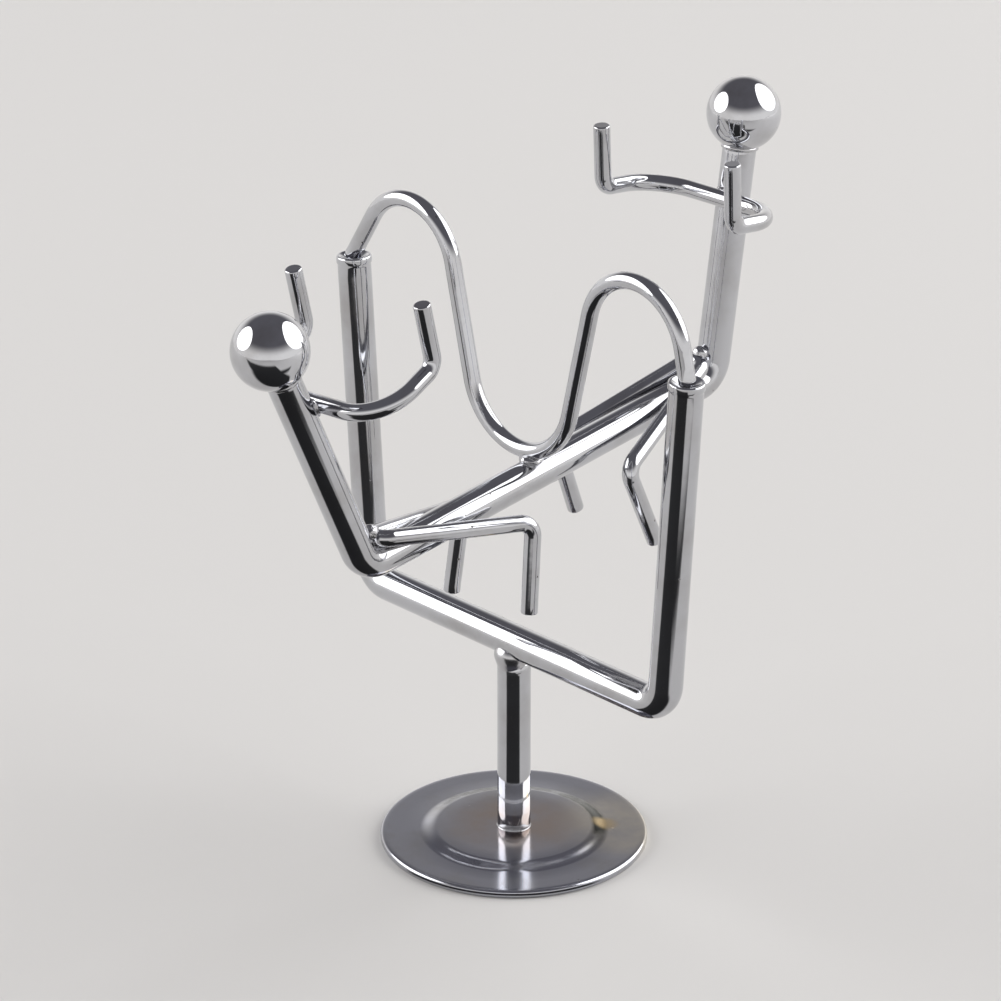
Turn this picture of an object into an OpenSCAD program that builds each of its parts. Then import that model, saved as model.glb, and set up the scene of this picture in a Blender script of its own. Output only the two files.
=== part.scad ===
// Balancing seesaw toy of bent and welded steel rod. Two stick figures with ball heads sit face to
// face at the ends of a beam. The beam hangs from a looped wire whose round ends rock in two cups,
// one on each arm of a forked stand. X runs along the beam, Y along the rocking axis, Z up, and the
// origin is the middle of the base's underside.

/* [Stock] */
// Diameter of the rod in the stand and the beam
rod_d = 5; // [4:0.1:6]
// Diameter of the wire in the hanger and the limbs
wire_d = 2.5; // [2:0.1:3]
// Diameter of the ball heads
ball_d = 11; // [9:0.5:14]
// Radius on the inside of the rod's bends
crook_r = 1.5; // [1.4:0.1:3]
// How far a welded piece sinks into the piece that carries it
weld_sink = 0.2; // [0.1:0.05:0.4]
// Thickness of the weld beads
bead_r = 0.6; // [0.4:0.05:0.9]
// Bevel on the cut ends of the wires
cut_bevel = 0.25; // [0.1:0.05:0.4]

/* [Base] */
// Diameter of the base disc
base_d = 40; // [34:1:60]
// Thickness of the disc at its rim
base_t = 1.2; // [0.8:0.1:2.5]
// Rounding of the disc's upper edge
base_edge = 0.5; // [0.2:0.1:0.7]
// Diameter of the raised middle, across its flat top
step_d = 23; // [14:0.5:26]
// Width of the slope round the raised middle
step_w = 2.7; // [1:0.1:3.5]
// Height of the raised middle above the rim
step_h = 0.7; // [0.3:0.1:1.5]

/* [Fork] */
// Height of the fork's bottom bar, to its axis
bar_h = 32.3; // [26:0.1:40]
// Distance between the fork's arms at the bar, between axes
bar_w = 62.4; // [50:0.1:76]
// Distance between the fork's arms at their tops, between axes
top_w = 69.2; // [56:0.1:84]
// Height of the fork's tops
top_h = 83.6; // [70:0.1:100]

/* [Cups] */
// Diameter of the swelled rim round each cup
rim_d = 5.3; // [4.6:0.1:6.4]
// Height of the swelled rim
rim_h = 1.3; // [0.8:0.1:2.5]
// Bevel of the swelled rim
rim_edge = 0.25; // [0.1:0.05:0.4]
// Diameter of the cup's mouth
cup_d = 4.2; // [3:0.1:4.4]
// Full angle of the cup
cup_angle = 110; // [100:1:125]
// Gap between the wire's round end and its cup
pivot_gap = 0.05; // [0.03:0.01:0.1]

/* [Hanger] */
// Distance of each loop's top inward from the top of its fork arm
loop_in = 11.3; // [9.5:0.1:13]
// Height of the loops above the rocking axis, to the wire's axis
loop_h = 11.6; // [8:0.1:20]
// Radius of the loops, to the wire's axis
loop_r = 9.4; // [7:0.1:10.5]
// Depth of the valley below the rocking axis, to the wire's axis
valley_h = 20.3; // [16:0.1:25]
// Radius of the valley between the loops, to the wire's axis
valley_r = 10.5; // [7:0.1:12]

/* [Beam] */
// Length of the beam between its corners
beam_l = 70; // [56:0.5:90]
// Length of each torso from the beam's corner to the middle of the head
torso_l = 40.4; // [34:0.1:52]
// Lean of each torso away from the other figure
torso_lean = 16.2; // [5:0.1:25]
// How far the rod goes into the head
neck_seat = 2.5; // [1.5:0.1:4]

/* [Arms] */
// Distance of the arms along the torso from the beam's corner
shoulder_h = 28; // [22:0.1:30]
// Distance between the two forearms
arm_w = 24.4; // [18:0.1:30]
// Reach of the elbows in front of the torso's axis
arm_reach = 15.5; // [13:0.1:22]
// Bend radius at the shoulders, to the wire's axis
shoulder_bend = 7; // [4:0.1:8]
// Bend radius at the elbows, to the wire's axis
elbow_bend = 2.2; // [1.6:0.1:3]
// Length of the raised hands from the elbow's corner
hand_l = 9.8; // [6:0.1:14]
// Lean of the hands forward from the line of the torso
hand_lean = 12; // [0:1:25]

/* [Legs] */
// Radius of the hairpin that sits in the crook of the beam, to the wire's axis
hip_bend = 1.9; // [1.6:0.1:2.6]
// Distance of the knees from the beam's corner, along the beam
knee_reach = 25.5; // [20:0.1:31]
// Distance between the knees
knee_w = 15.2; // [12:0.1:20]
// Depth of the knees below the beam's axis
knee_drop = 2; // [0:0.1:6]
// Bend radius at the knees, to the wire's axis
knee_bend = 2.2; // [1.6:0.1:3]
// Length of the shins from the knee's corner
shin_l = 13.7; // [8:0.1:17]
// Lean of the shins back towards their own figure
shin_lean = 14.4; // [0:0.1:25]
// Outward splay of the shins
shin_splay = 3.4; // [0:0.1:10]

/* [Hand fitting] */
// Tilt of the beam where it is welded under the hanger, right end up
beam_tilt = 7.9; // [0:0.1:10]
// Shift of the beam's middle past the weld towards the right, which balances the tilt
beam_shift = 2.4; // [0:0.1:4]
// Shift of the beam along Y from the middle of the valley
beam_side = -2.3; // [-3:0.1:3]
// Shift of the hanger's loops along Y from the middle of the fork
hanger_side = -1.2; // [-2:0.1:2]
// Turn of the arms about the torso, towards the figure's own left
arm_turn = 5.2; // [-8:0.1:8]
// How far the left figure's own left knee hangs lower than its right one
left_knee_dip = 2.2; // [0:0.1:3]

/* [Hidden] */
$fn = 96;
rod_r = rod_d / 2;
wire_r = wire_d / 2;
ball_r = ball_d / 2;
rod_bend = rod_r + crook_r;
// bends are this much thinner than the straights and reach this far into them
bend_thin = 0.02;
bend_into = 0.1;
// the hanger's round ends are a hair thicker than its wire
tip_r = wire_r + 0.03;
base_top = base_t + step_h;
splay = atan2((top_w - bar_w) / 2, top_h - bar_h);
cup_half = cup_angle / 2;
cup_depth = cup_d / 2 / tan(cup_half);
// the wire's round end sits this far above the rim of its cup
pivot_rise = (tip_r + pivot_gap) / sin(cup_half) - cup_depth;
pivot_y = top_w / 2 + pivot_rise * sin(splay);
pivot_z = top_h + pivot_rise * cos(splay);

// the hanger in its own plane, as [sideways, up] from the middle of the rocking axis
loop_mid = [top_w / 2 - loop_in, loop_h - loop_r];
valley_mid = [0, valley_r - valley_h];
leg_span = loop_mid - valley_mid;
leg_side = atan2(leg_span[1], leg_span[0]) + asin((loop_r + valley_r) / norm(leg_span)) - 90;

// the beam's frame starts at its weld under the hanger
beam_drop = valley_h + wire_r + rod_r - weld_sink;

// the right figure in the beam's frame: along its torso, and square to it towards the other figure
corner = [beam_l / 2, 0, 0];
up_torso = [sin(torso_lean), 0, cos(torso_lean)];
chest_way = [-cos(torso_lean), 0, sin(torso_lean)];
neck = corner + up_torso * (torso_l - ball_r + neck_seat);
collar = corner + up_torso * (torso_l - sqrt(ball_r * ball_r - rod_r * rod_r));
chest = rod_r + wire_r - weld_sink;

// the hairpin of the legs nests in the inside of the bend between beam and torso
crook_run = rod_bend * tan((90 - torso_lean) / 2);
crook_mid = corner + [-crook_run, 0, rod_bend];
crook_way = unit(corner - crook_mid);
hip = crook_mid + crook_way * (crook_r - wire_r + weld_sink);
knee_mid = corner + [-knee_reach, 0, -knee_drop];
thigh_way = unit(knee_mid - hip);
thigh_l = norm(knee_mid - hip);
hip_far = norm([thigh_l - hip_bend, knee_w / 2]);
thigh_splay = acos(hip_bend / hip_far) - atan2(thigh_l - hip_bend, knee_w / 2);
hip_corner = knee_mid - thigh_way * (knee_w / 2 / tan(thigh_splay));

function unit(v) = v / norm(v);
function polar(r, a) = [r * cos(a), r * sin(a)];
function middle(v) = [for (i = [1 : len(v) - 2]) i];
function heading(path, i) = unit(path[i + 1] - path[i]);
function turn(path, i) = acos(heading(path, i - 1) * heading(path, i));
function run_out(path, bends, i) =
    i == 0 || i == len(path) - 1 ? 0 : bends[i - 1] * tan(turn(path, i) / 2);
function square_to(way) = unit(cross(way, abs(way[2]) < 0.9 ? [0, 0, 1] : [1, 0, 0]));
function torso_point(forward, side, along) =
    corner + chest_way * forward + [0, side, 0] + up_torso * along;
function arm_point(forward, side, along) =
    torso_point(
        forward * cos(arm_turn) + side * sin(arm_turn),
        side * cos(arm_turn) - forward * sin(arm_turn),
        along
    );

// places its children with their x, y and z along three square directions
module along(x_way, y_way, z_way, start) {
    multmatrix([
        [x_way[0], y_way[0], z_way[0], start[0]],
        [x_way[1], y_way[1], z_way[1], start[1]],
        [x_way[2], y_way[2], z_way[2], start[2]],
        [0, 0, 0, 1],
    ]) children();
}

// straight round bar between two points, with a bevel on the cut ends that are asked for
module straight(from, to, d, cut_from = 0, cut_to = 0) {
    way = unit(to - from);
    side = square_to(way);
    length = norm(to - from);
    along(side, cross(way, side), way, from) {
        translate([0, 0, cut_from]) cylinder(h = length - cut_from - cut_to, d = d);
        if (cut_from > 0) cylinder(h = cut_from, d1 = d - 2 * cut_from, d2 = d);
        if (cut_to > 0) translate([0, 0, length - cut_to]) cylinder(h = cut_to, d1 = d, d2 = d - 2 * cut_to);
    }
}

// bend of a round bar about Z between two angles, a hair thinner than the straights it runs into
module bend(r, from, to, d) {
    into = asin(bend_into / r);
    rotate(from - into)
        rotate_extrude(angle = to - from + 2 * into) translate([r, 0]) circle(d = d - bend_thin);
}

// round bar bent at each inner point of a path
module bent_bar(path, bends, d, cut = 0) {
    last = len(path) - 1;
    for (i = [0 : last - 1]) {
        way = heading(path, i);
        from = path[i] + way * run_out(path, bends, i);
        to = path[i + 1] - way * run_out(path, bends, i + 1);
        straight(from, to, d, i == 0 ? cut : 0, i == last - 1 ? cut : 0);
    }
    for (i = middle(path)) {
        into = heading(path, i - 1);
        out = heading(path, i);
        inward = unit(out - into * (into * out));
        centre = path[i] - into * run_out(path, bends, i) + inward * bends[i - 1];
        along(-inward, into, cross(-inward, into), centre) bend(bends[i - 1], 0, turn(path, i), d);
    }
}

// flat bends and straights for the hanger, drawn in the plane of X and Y
module flat_arc(centre, r, from, to) {
    translate(centre) bend(r, from, to, wire_d);
}

module flat_run(from, to) {
    straight([from[0], from[1], 0], [to[0], to[1], 0], wire_d);
}

// one side of the hanger, from the valley to its round end
module hanger_side_wire(tip_x) {
    tip = [tip_x, 0];
    tip_span = tip - loop_mid;
    tip_side = atan2(tip_span[1], tip_span[0]) + acos(loop_r / norm(tip_span));
    flat_run(valley_mid + polar(valley_r, leg_side), loop_mid - polar(loop_r, leg_side));
    flat_arc(loop_mid, loop_r, tip_side, leg_side + 180);
    flat_run(loop_mid + polar(loop_r, tip_side), tip);
    translate(tip) sphere(r = tip_r);
}

module hanger_wire() {
    translate([0, hanger_side, pivot_z]) rotate([90, 0, 90]) {
        flat_arc(valley_mid, valley_r, -180 - leg_side, leg_side);
        hanger_side_wire(pivot_y - hanger_side);
        mirror([1, 0, 0]) hanger_side_wire(pivot_y + hanger_side);
    }
}

// the beam's frame, with its middle at the origin and its length along X
module on_beam() {
    translate([0, hanger_side + beam_side, pivot_z - beam_drop])
        rotate([0, -beam_tilt, 0]) translate([beam_shift, 0, 0]) children();
}

// the left figure is the right one turned round to face it
module left_figure() {
    on_beam() rotate(180) children();
}

module beam_bar() {
    left_neck = [-neck[0], neck[1], neck[2]];
    bent_bar([left_neck, -corner, corner, neck], [rod_bend, rod_bend], rod_d);
}

module torso_bar() {
    straight(corner, neck, rod_d);
}

module figure_arms_wire() {
    hand_reach = arm_reach + hand_l * sin(hand_lean);
    hand_h = shoulder_h + hand_l * cos(hand_lean);
    path = [
        arm_point(hand_reach, arm_w / 2, hand_h),
        arm_point(arm_reach, arm_w / 2, shoulder_h),
        arm_point(chest, arm_w / 2, shoulder_h),
        arm_point(chest, -arm_w / 2, shoulder_h),
        arm_point(arm_reach, -arm_w / 2, shoulder_h),
        arm_point(hand_reach, -arm_w / 2, hand_h),
    ];
    bent_bar(path, [elbow_bend, shoulder_bend, shoulder_bend, elbow_bend], wire_d, cut_bevel);
}

// hairpin of the legs, whose own left knee can hang lower
module figure_legs_wire(dip) {
    shin = unit([tan(shin_lean), tan(shin_splay), -1]) * shin_l;
    left_shin = [shin[0], -shin[1], shin[2]];
    knee = knee_mid + [0, knee_w / 2, 0];
    left_knee = knee_mid + [0, -knee_w / 2, -dip];
    path = [knee + shin, knee, hip_corner, left_knee, left_knee + left_shin];
    bent_bar(path, [knee_bend, hip_bend, knee_bend], wire_d, cut_bevel);
}

module figure_head() {
    difference() {
        translate(corner + up_torso * torso_l) sphere(d = ball_d);
        torso_bar();
    }
}

module figure_arms() {
    difference() {
        figure_arms_wire();
        torso_bar();
    }
}

module figure_legs(dip = 0) {
    difference() {
        figure_legs_wire(dip);
        beam_bar();
    }
}

// ring of weld round the neck, under the ball
module figure_neck_weld() {
    difference() {
        along(-chest_way, [0, 1, 0], up_torso, collar)
            rotate_extrude() translate([rod_r, 0]) circle(r = bead_r / 2);
        torso_bar();
        translate(corner + up_torso * torso_l) sphere(d = ball_d);
    }
}

// weld that fills the crevice between the chest and the wire of the arms
module figure_shoulder_weld() {
    difference() {
        translate(arm_point(rod_r, 0, shoulder_h)) sphere(r = wire_r + bead_r);
        torso_bar();
        figure_arms_wire();
    }
}

// lump of weld in the crevice between the torso and the top of the hairpin
module figure_hip_weld(dip = 0) {
    difference() {
        translate(hip + up_torso * wire_r - chest_way * bead_r) sphere(r = 2 * bead_r);
        beam_bar();
        figure_legs_wire(dip);
    }
}

// bent rod of the fork, up to the middle of its swelled rims
module fork_bar() {
    arm_y = top_w / 2 - rim_h / 2 * sin(splay);
    arm_z = top_h - rim_h / 2 * cos(splay);
    path = [[0, arm_y, arm_z], [0, bar_w / 2, bar_h], [0, -bar_w / 2, bar_h], [0, -arm_y, arm_z]];
    bent_bar(path, [rod_bend, rod_bend], rod_d);
}

// swelled end of a fork arm, from its rim downwards
module rim_swell() {
    rim_r = rim_d / 2;
    rotate_extrude()
        polygon([
            [0, -rim_h],
            [rod_r - rim_edge, -rim_h],
            [rim_r, rim_edge - rim_h],
            [rim_r, -rim_edge],
            [rim_r - rim_edge, 0],
            [0, 0],
        ]);
}

module post_rod() {
    translate([0, 0, base_top]) cylinder(h = bar_h - rod_r + weld_sink - base_top, d = rod_d);
}

module base_disc() {
    rim_r = base_d / 2;
    color("silver")
        rotate_extrude()
            union() {
                polygon([
                    [0, 0],
                    [rim_r, 0],
                    [rim_r, base_t - base_edge],
                    [rim_r - base_edge, base_t],
                    [step_d / 2 + step_w, base_t],
                    [step_d / 2, base_top],
                    [0, base_top],
                ]);
                translate([rim_r - base_edge, base_t - base_edge]) circle(r = base_edge);
            }
}

module post() {
    color("gainsboro")
        difference() {
            post_rod();
            fork_bar();
        }
}

module fork() {
    color("gainsboro")
        difference() {
            union() {
                fork_bar();
                for (side = [-1, 1])
                    translate([0, side * top_w / 2, top_h]) rotate([-side * splay, 0, 0]) rim_swell();
            }
            for (side = [-1, 1])
                translate([0, side * top_w / 2, top_h]) rotate([-side * splay, 0, 0])
                    translate([0, 0, -cup_depth]) cylinder(h = 2 * cup_depth, r1 = 0, r2 = cup_d);
        }
}

module foot_weld() {
    color("lightgray")
        translate([0, 0, base_top]) rotate_extrude() translate([rod_r, 0])
            difference() {
                square(bead_r);
                translate([bead_r, bead_r]) circle(r = bead_r);
            }
}

// weld that fills the crevice between the flat end of the post and the round bar
module bar_weld() {
    color("lightgray")
        difference() {
            translate([0, 0, bar_h - rod_r]) sphere(r = rod_r + bead_r);
            post_rod();
            fork_bar();
        }
}

module hanger() {
    color("white")
        difference() {
            hanger_wire();
            on_beam() beam_bar();
        }
}

module beam() {
    color("white") on_beam() beam_bar();
}

module left_head() {
    color("whitesmoke") left_figure() figure_head();
}

module right_head() {
    color("whitesmoke") on_beam() figure_head();
}

module left_arms() {
    color("gainsboro") left_figure() figure_arms();
}

module right_arms() {
    color("gainsboro") on_beam() figure_arms();
}

module left_legs() {
    color("gainsboro") left_figure() figure_legs(left_knee_dip);
}

module right_legs() {
    color("gainsboro") on_beam() figure_legs();
}

// weld that fills the crevice between the beam and the low point of the hanger
module hanger_weld() {
    color("lightgray")
        difference() {
            translate([0, hanger_side + beam_side, pivot_z - beam_drop + rod_r]) sphere(r = wire_r + bead_r);
            hanger_wire();
            on_beam() beam_bar();
        }
}

module neck_welds() {
    color("lightgray") {
        left_figure() figure_neck_weld();
        on_beam() figure_neck_weld();
    }
}

module shoulder_welds() {
    color("lightgray") {
        left_figure() figure_shoulder_weld();
        on_beam() figure_shoulder_weld();
    }
}

module hip_welds() {
    color("lightgray") {
        left_figure() figure_hip_weld(left_knee_dip);
        on_beam() figure_hip_weld();
    }
}

base_disc();
post();
fork();
foot_weld();
bar_weld();
hanger();
beam();
left_head();
right_head();
left_arms();
right_arms();
left_legs();
right_legs();
hanger_weld();
neck_welds();
shoulder_welds();
hip_welds();
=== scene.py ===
"""Looks of a chromed seesaw desk toy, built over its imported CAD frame.

The toy's lengths are in millimetres until a mesh is made, and every mesh is in metres in the CAD's
own frame. The studio is in metres throughout.
"""

import logging
import math
from dataclasses import dataclass, field
from enum import Enum
from typing import Callable, Optional, Sequence, Union

import bmesh
import bpy
from mathutils import Matrix, Vector, noise


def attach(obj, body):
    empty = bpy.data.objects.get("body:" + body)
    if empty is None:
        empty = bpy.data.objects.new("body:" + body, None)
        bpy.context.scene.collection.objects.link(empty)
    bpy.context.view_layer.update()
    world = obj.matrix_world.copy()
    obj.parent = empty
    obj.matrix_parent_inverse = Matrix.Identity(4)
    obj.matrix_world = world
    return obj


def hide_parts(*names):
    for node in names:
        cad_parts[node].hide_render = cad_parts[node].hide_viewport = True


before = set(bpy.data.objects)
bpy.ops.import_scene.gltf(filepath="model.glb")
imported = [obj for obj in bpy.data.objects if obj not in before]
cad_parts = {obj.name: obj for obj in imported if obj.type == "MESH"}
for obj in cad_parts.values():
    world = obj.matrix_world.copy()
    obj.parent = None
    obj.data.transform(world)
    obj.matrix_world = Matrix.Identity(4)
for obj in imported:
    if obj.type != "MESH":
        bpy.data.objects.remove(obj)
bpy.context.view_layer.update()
LOG = logging.getLogger("seesaw_toy")
MM = 0.001
# coordinates along and round each bar: millimetres, and turns
ALONG_ROUND = "along_round"
UPWARD = Vector((0, 0, 1))

Tree = bpy.types.NodeTree
Socket = bpy.types.NodeSocket
Vert = bmesh.types.BMVert
Pair = tuple[float, float]
Triple = tuple[float, float, float]
Colour = tuple[float, float, float, float]
# gives radii and heights of a weld's outline, from an angle and an unevenness of -1 to 1
Section = Callable[[float, float], Sequence[Pair]]
# a point and a direction in the hanger's plane
Step = tuple[Pair, Pair]


class Cut(Enum):
    """How the end of a rod or wire is finished."""

    SAWN = "sawn square, with a broken edge"
    BALL = "burnished to a ball that rocks in a cup"
    CUP = "swelled to a rim with a cone-shaped cup"
    BURIED = "hidden inside another piece"


class Body(Enum):
    """The two bodies of the toy."""

    STAND = "stand"
    ROCKER = "rocker"


def linear(code: str) -> Colour:
    """Turns an sRGB hex colour into linear RGBA.

    Args:
        code: six hex digits.

    Returns:
        Linear red, green and blue, and an alpha of 1.
    """
    parts = [int(code[i : i + 2], 16) / 255 for i in (0, 2, 4)]
    red, green, blue = (
        c / 12.92 if c <= 0.04045 else ((c + 0.055) / 1.055) ** 2.4 for c in parts
    )
    return (red, green, blue, 1.0)


def per_metre(size_mm: float) -> float:
    """Gives the texture scale, in object space, of a pattern that repeats every size_mm."""
    return 1.0 / (size_mm * MM)


def outward(azimuth: float, elevation: float) -> Vector:
    """Gives the direction to a place round the toy, from degrees round and up."""
    a, e = math.radians(azimuth), math.radians(elevation)
    return Vector((math.sin(a) * math.cos(e), -math.cos(a) * math.cos(e), math.sin(e)))


def add_node(
    tree: Tree, kind: str, settings: Optional[dict] = None, inputs: Optional[dict] = None
) -> bpy.types.Node:
    """Adds a node with its settings and links.

    Args:
        tree: the node tree.
        kind: the node's type name.
        settings: properties of the node by name.
        inputs: sockets by name or number; an output socket is linked, anything else is the value.

    Returns:
        The new node.
    """
    node = tree.nodes.new(kind)
    for name, value in (settings or {}).items():
        setattr(node, name, value)
    for name, value in (inputs or {}).items():
        if isinstance(value, Socket):
            tree.links.new(value, node.inputs[name])
        else:
            node.inputs[name].default_value = value
    return node


def maths(tree: Tree, operation: str, *values: Union[float, Socket]) -> Socket:
    """Adds one step of arithmetic on numbers and sockets, and gives its result."""
    step = add_node(tree, "ShaderNodeMath", {"operation": operation}, dict(enumerate(values)))
    return step.outputs[0]


def vector_maths(tree: Tree, operation: str, *values: Union[Triple, Socket]) -> bpy.types.Node:
    """Adds one step of arithmetic on vectors, and gives its node."""
    inputs = dict(enumerate(values))
    return add_node(tree, "ShaderNodeVectorMath", {"operation": operation}, inputs)


def ramp(
    tree: Tree, value: Socket, span: Pair, result: Pair = (0.0, 1.0), kind: str = "LINEAR"
) -> Socket:
    """Maps a span of values to a span of results, and gives the result."""
    inputs = {0: value, 1: span[0], 2: span[1], 3: result[0], 4: result[1]}
    return add_node(tree, "ShaderNodeMapRange", {"interpolation_type": kind}, inputs).outputs[0]


def fade(tree: Tree, value: Socket, span: Pair, strength: float = 1.0) -> Socket:
    """Fades smoothly over a span of values, from a strength to nothing."""
    return ramp(tree, value, span, (strength, 0.0), "SMOOTHSTEP")


def cloud(
    tree: Tree, place: Socket, scale: float, detail: float, roughness: float = 0.5
) -> Socket:
    """Adds a cloudy pattern, and gives its value."""
    inputs = {"Vector": place, "Scale": scale, "Detail": detail, "Roughness": roughness}
    return add_node(tree, "ShaderNodeTexNoise", {}, inputs).outputs["Fac"]


def tint(
    tree: Tree, amount: Socket, below: Union[Colour, Socket], above: Union[Colour, Socket]
) -> Socket:
    """Lays one colour over another by an amount, and gives the result."""
    inputs = {"Factor": amount, "A": below, "B": above}
    return add_node(tree, "ShaderNodeMix", {"data_type": "RGBA"}, inputs).outputs["Result"]


def object_place(tree: Tree) -> Socket:
    """Gives object coordinates."""
    return add_node(tree, "ShaderNodeTexCoord").outputs["Object"]


@dataclass(frozen=True)
class ChromeFinish:
    """Bright decorative chrome over steel, a slightly bluish mirror of everything round it."""

    name: str
    slot: str
    # what the plating reflects, a little dark, as chrome gives back under two thirds of the light
    colour: str = "C6C7CB"
    roughness: float = 0.045
    # thin film of handling grease and dust, in patches that are duller by this much
    dull_colour: str = "B4B3B4"
    dull_roughness: float = 0.07
    dull_mm: float = 9.0
    dull_span: Pair = (0.45, 0.75)
    # plating follows shallow waves of the steel
    wave_mm: float = 5.0
    wave_height_mm: float = 0.012
    # lines left along the stock by the die; real ones are finer, these are as coarse as shows
    line_mm: float = 0.22
    line_height_mm: float = 0.0
    line_draw: float = 40.0
    # small pits where the plating skipped, down to rough steel, and the share of cells without one
    pit_colour: str = "5A564F"
    pit_roughness: float = 0.35
    pit_every_mm: float = 3.0
    pit_mm: float = 0.16
    pit_depth_mm: float = 0.02
    pit_edge: float = 0.4
    pit_free: float = 0.6

    def material(self) -> bpy.types.Material:
        """Builds the node material of this finish, the first time it is asked for.

        Returns:
            The material, ready to be put on a piece.
        """
        found = bpy.data.materials.get(self.name)
        if found:
            return found
        made = bpy.data.materials.new(self.name)
        made.use_nodes = True
        tree = made.node_tree
        shader = tree.nodes["Principled BSDF"]
        shader.inputs["Metallic"].default_value = 1.0
        place = object_place(tree)
        pits = self._pits(tree, place)
        film = cloud(tree, place, per_metre(self.dull_mm), detail=4.0, roughness=0.6)
        patches = ramp(tree, film, self.dull_span)
        looks = {
            "Base Color": self._colour(tree, patches, pits),
            "Roughness": self._roughness(tree, patches, pits),
            "Normal": self._surface(tree, place, pits),
        }
        for name, look in looks.items():
            tree.links.new(look, shader.inputs[name])
        return made

    def _pits(self, tree: Tree, place: Socket) -> Socket:
        """Makes scattered pits: a few of many cells have a small round spot.

        Args:
            tree: the material's tree.
            place: object coordinates.

        Returns:
            A value that is 1 in a pit and 0 outside.
        """
        inputs = {"Vector": place, "Scale": per_metre(self.pit_every_mm), "Randomness": 1.0}
        cells = add_node(tree, "ShaderNodeTexVoronoi", {}, inputs)
        reach = self.pit_mm / self.pit_every_mm
        spot = ramp(tree, cells.outputs["Distance"], (reach, reach * self.pit_edge))
        lot = add_node(tree, "ShaderNodeSeparateColor", {}, {0: cells.outputs["Color"]})
        few = maths(tree, "GREATER_THAN", lot.outputs[0], self.pit_free)
        return maths(tree, "MULTIPLY", spot, few)

    def _colour(self, tree: Tree, patches: Socket, pits: Socket) -> Socket:
        """Colours the chrome, with its film and its pits."""
        film = tint(tree, patches, linear(self.colour), linear(self.dull_colour))
        return tint(tree, pits, film, linear(self.pit_colour))

    def _roughness(self, tree: Tree, patches: Socket, pits: Socket) -> Socket:
        """Gives the roughness of the chrome, with its film and its pits."""
        filmed = self.roughness + self.dull_roughness
        rough = ramp(tree, patches, (0.0, 1.0), (self.roughness, filmed))
        return maths(tree, "MULTIPLY_ADD", pits, self.pit_roughness, rough)

    def _surface(self, tree: Tree, place: Socket, pits: Socket) -> Socket:
        """Adds up the heights of the waves, die lines and pits.

        Args:
            tree: the material's tree.
            place: object coordinates.
            pits: value of the pits.

        Returns:
            The bumped normal.
        """
        wave = cloud(tree, place, per_metre(self.wave_mm), detail=2.0)
        height = maths(tree, "MULTIPLY", wave, self.wave_height_mm * MM)
        if self.line_height_mm > 0:
            line = cloud(tree, self._along(tree), 1.0 / self.line_mm, detail=1.0)
            height = maths(tree, "MULTIPLY_ADD", line, self.line_height_mm * MM, height)
        sunk = maths(tree, "MULTIPLY_ADD", pits, -self.pit_depth_mm * MM, height)
        inputs = {"Strength": 1.0, "Distance": 1.0, "Height": sunk}
        return add_node(tree, "ShaderNodeBump", {}, inputs).outputs["Normal"]

    def _along(self, tree: Tree) -> Socket:
        """Gives seamless coordinates round a bar, drawn out along it.

        Args:
            tree: the material's tree.

        Returns:
            A vector that goes round a circle of radius 1 and hardly changes along the bar.
        """
        run = add_node(tree, "ShaderNodeUVMap", {"uv_map": ALONG_ROUND}).outputs[0]
        axes = add_node(tree, "ShaderNodeSeparateXYZ", {}, {0: run}).outputs
        angle = maths(tree, "MULTIPLY", axes[1], math.tau)
        circle = {i: maths(tree, turn, angle) for i, turn in enumerate(("COSINE", "SINE"))}
        slow = maths(tree, "MULTIPLY", axes[0], 1.0 / self.line_draw)
        return add_node(tree, "ShaderNodeCombineXYZ", {}, {**circle, 2: slow}).outputs[0]


@dataclass(frozen=True)
class Stain:
    """A soft round stain on the disc."""

    colour: str
    at_mm: Pair
    reach_mm: float
    strength: float = 0.9
    # share of its reach at full strength
    full: float = 0.4

    def value(self, tree: Tree, place: Socket) -> Socket:
        """Gives how strong the stain is.

        Args:
            tree: the material's tree.
            place: object coordinates.

        Returns:
            The stain's value, which is 0 beyond its reach.
        """
        middle = (self.at_mm[0] * MM, self.at_mm[1] * MM, 0.0)
        span = vector_maths(tree, "SUBTRACT", place, middle).outputs[0]
        flat = vector_maths(tree, "MULTIPLY", span, (1.0, 1.0, 0.0)).outputs[0]
        out = vector_maths(tree, "LENGTH", flat).outputs["Value"]
        reach = self.reach_mm * MM
        return fade(tree, out, (self.full * reach, reach), self.strength)


@dataclass(frozen=True)
class PaintedDarkReflection:
    """Painted dark reflection along part of a ring on the disc, where the ring would mirror dark
    surroundings.
    """

    colour: str
    ring_mm: Pair
    # its middle and where it has gone, in degrees round the disc
    way: float
    reach: float
    # more than full, so that the chrome shows through the painted dark only where the uneven
    # blotches thin it most
    strength: float = 1.7
    soft_mm: float = 0.5

    def value(self, tree: Tree, place: Socket) -> Socket:
        """Gives how strong the painted dark reflection is.

        Args:
            tree: the material's tree.
            place: object coordinates.

        Returns:
            The painted dark reflection's value, which is 0 off the ring.
        """
        flat = vector_maths(tree, "MULTIPLY", place, (1.0, 1.0, 0.0)).outputs[0]
        out = vector_maths(tree, "LENGTH", flat).outputs["Value"]
        way, reach = math.radians(self.way), math.radians(self.reach)
        middle = (math.cos(way), math.sin(way), 0.0)
        ahead = vector_maths(tree, "DOT_PRODUCT", flat, middle).outputs["Value"]
        turn = maths(tree, "DIVIDE", ahead, out)
        band = fade(tree, turn, (math.cos(0.5 * reach), math.cos(reach)), self.strength)
        inner, outer = (mm * MM for mm in self.ring_mm)
        soft = self.soft_mm * MM
        for span in ((inner + soft, inner - soft), (outer - soft, outer + soft)):
            band = maths(tree, "MULTIPLY", band, fade(tree, out, span))
        return band


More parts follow.
